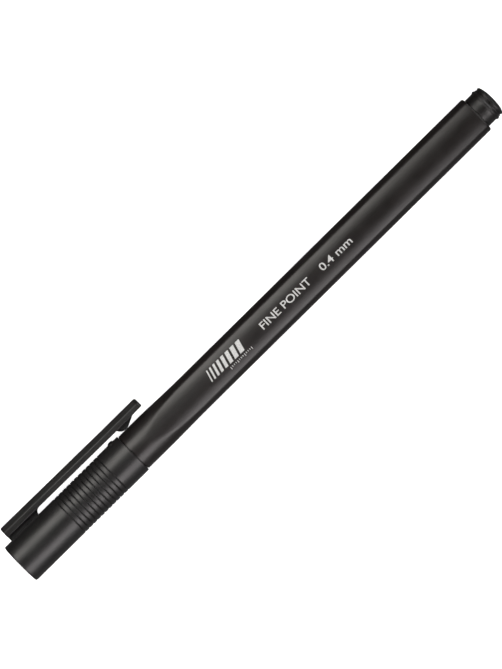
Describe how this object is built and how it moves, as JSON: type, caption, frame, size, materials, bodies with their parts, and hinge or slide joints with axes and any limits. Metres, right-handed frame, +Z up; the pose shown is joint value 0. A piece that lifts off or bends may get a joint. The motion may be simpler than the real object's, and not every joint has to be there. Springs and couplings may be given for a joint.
{
  "type": "capped fineliner pen",
  "caption": "Slim black drawing pen with a three-sided barrel, a grooved round push-on cap, a straight clip and a stepped tail plug.",
  "frame": {"origin": "middle of the pen's box at the surface it lies on", "axes": "+X along the pen from the cap's closed end to the tail plug, +Y towards the clip, +Z up out of one barrel facet"},
  "size_m": [0.16, 0.015, 0.0111],
  "materials": {
    "cap_plastic": "black moulded plastic, satin",
    "barrel_plastic": "black moulded plastic, satin",
    "plug_plastic": "black moulded plastic, satin",
    "holder_plastic": "black moulded plastic, satin",
    "liner_plastic": "natural moulded plastic",
    "sleeve_steel": "drawn steel tube",
    "nib_fibre": "extruded point soaked in black ink",
    "ink_fibre": "polyester fibre soaked in black ink",
    "wrap_film": "thin clear film wrap",
    "print_ink": "pale grey pad print"
  },
  "bodies": {
    "pen": {"barrel": "barrel_plastic", "nib_holder": "holder_plastic", "nib_sleeve": "sleeve_steel", "nib_rod": "nib_fibre", "ink_reservoir": "ink_fibre", "reservoir_film": "wrap_film", "tail_plug": "plug_plastic"},
    "liner": {"inner_cap": "liner_plastic"},
    "cap": {"cap_shell": "cap_plastic"},
    "clip": {"clip_arm": "cap_plastic"}
  },
  "joints": [
    {"name": "cap_pull", "type": "slide", "parent": "pen", "child": "liner", "axis": [-1, 0, 0], "range_m": [0, 0.04]},
    {"name": "cap_turn", "type": "hinge", "parent": "liner", "child": "cap", "pos_m": [-0.06, -0.00199, 0.00554], "axis": [1, 0, 0], "continuous": true},
    {"name": "clip_flex", "type": "hinge", "parent": "cap", "child": "clip", "pos_m": [-0.0668, 0.00745, 0.00554], "axis": [0, 0, 1], "range_deg": [0, 6], "stiffness_Nm_per_rad": 0.8}
  ]
}
